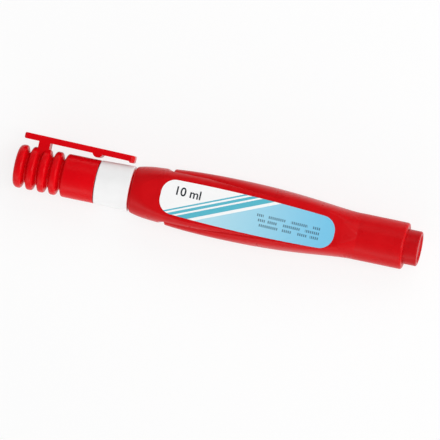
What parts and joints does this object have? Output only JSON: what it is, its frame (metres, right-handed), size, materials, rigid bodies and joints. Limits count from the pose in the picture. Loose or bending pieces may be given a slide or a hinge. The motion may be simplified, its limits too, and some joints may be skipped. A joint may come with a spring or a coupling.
{
  "type": "correction pen",
  "caption": "Flat-sided squeeze pen for correction fluid, with a sprung needle-valve tip, a loose mixing ball and a pull-off finned cap with pocket clip that can be posted on the rear plug.",
  "frame": {"origin": "middle of the flat back panel on which the pen lies", "axes": "+X along the pen from the cap to the rear plug, +Y towards the clip, +Z out of the front label"},
  "size_m": [0.1352, 0.0214, 0.0161],
  "materials": {
    "barrel_red": "glossy moulded polypropylene",
    "plug_red": "glossy moulded polypropylene",
    "collar_white": "white moulded polypropylene",
    "tip_white": "white acetal",
    "needle_steel": "stainless steel wire",
    "carrier_natural": "natural polypropylene",
    "spring_steel": "stainless spring wire",
    "retainer_natural": "natural polypropylene",
    "ball_steel": "stainless steel ball",
    "cap_red": "glossy moulded polypropylene",
    "inner_cap_natural": "soft natural polyethylene",
    "label_film": "printed film"
  },
  "bodies": {
    "pen": {"barrel": "barrel_red", "rear_plug": "plug_red", "nose_collar": "collar_white", "writing_tip": "tip_white", "spring_retainer": "retainer_natural", "valve_spring": "spring_steel", "front_label": "label_film"},
    "cap": {"cap_shell": "cap_red", "inner_cap": "inner_cap_natural"},
    "valve": {"valve_needle": "needle_steel", "needle_carrier": "carrier_natural"},
    "ball": {"mixing_ball": "ball_steel"}
  },
  "joints": [
    {"name": "cap_pull", "type": "slide", "parent": "pen", "child": "cap", "axis": [-1, 0, 0], "range_m": [0, 0.045]},
    {"name": "valve_press", "type": "slide", "parent": "pen", "child": "valve", "axis": [1, 0, 0], "range_m": [0, 0.0006], "stiffness_N_per_m": 600, "deforming": ["valve_spring"]},
    {"name": "ball_roll", "type": "slide", "parent": "pen", "child": "ball", "axis": [1, 0, 0], "range_m": [-0.025, 0.025]}
  ]
}
